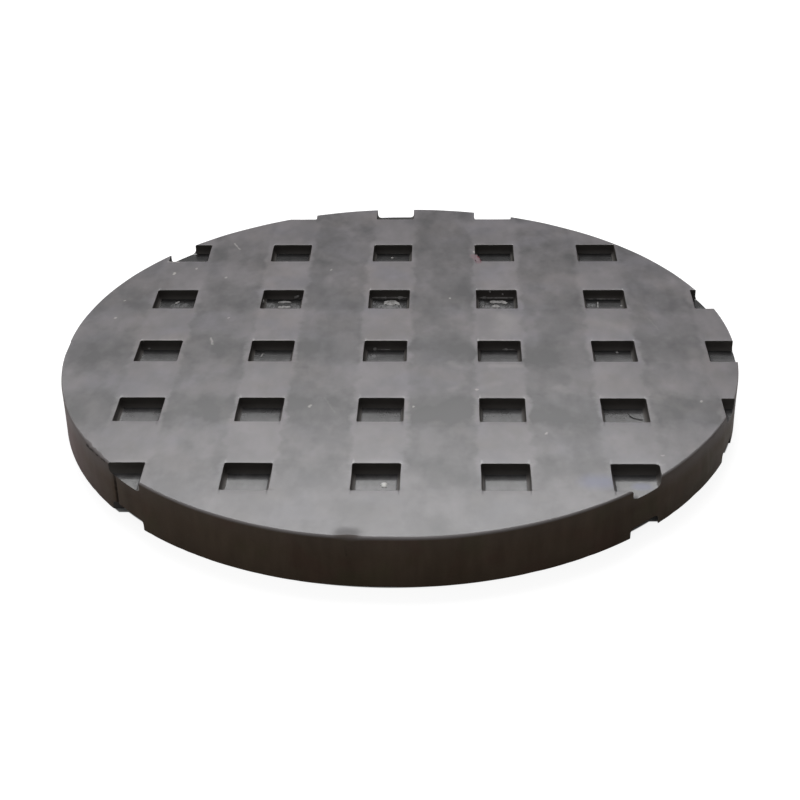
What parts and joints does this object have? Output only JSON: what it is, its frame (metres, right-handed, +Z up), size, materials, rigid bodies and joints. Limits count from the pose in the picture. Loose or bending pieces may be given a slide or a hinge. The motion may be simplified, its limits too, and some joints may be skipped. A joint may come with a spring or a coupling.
{
  "type": "anti-vibration pad",
  "caption": "Round rubber anti-vibration pad with a grid of square pockets moulded into both faces, some of them opened by the round cut.",
  "frame": {"origin": "centre of the disc on its bottom face, the face that stands on the floor", "axes": "+Z up through the thickness, out of the top face; X and Y along the two rows of the pocket grid"},
  "size_m": [0.2, 0.2, 0.015],
  "materials": {
    "rubber": "satin"
  },
  "bodies": {
    "root": {"pad": "rubber"}
  },
  "joints": []
}
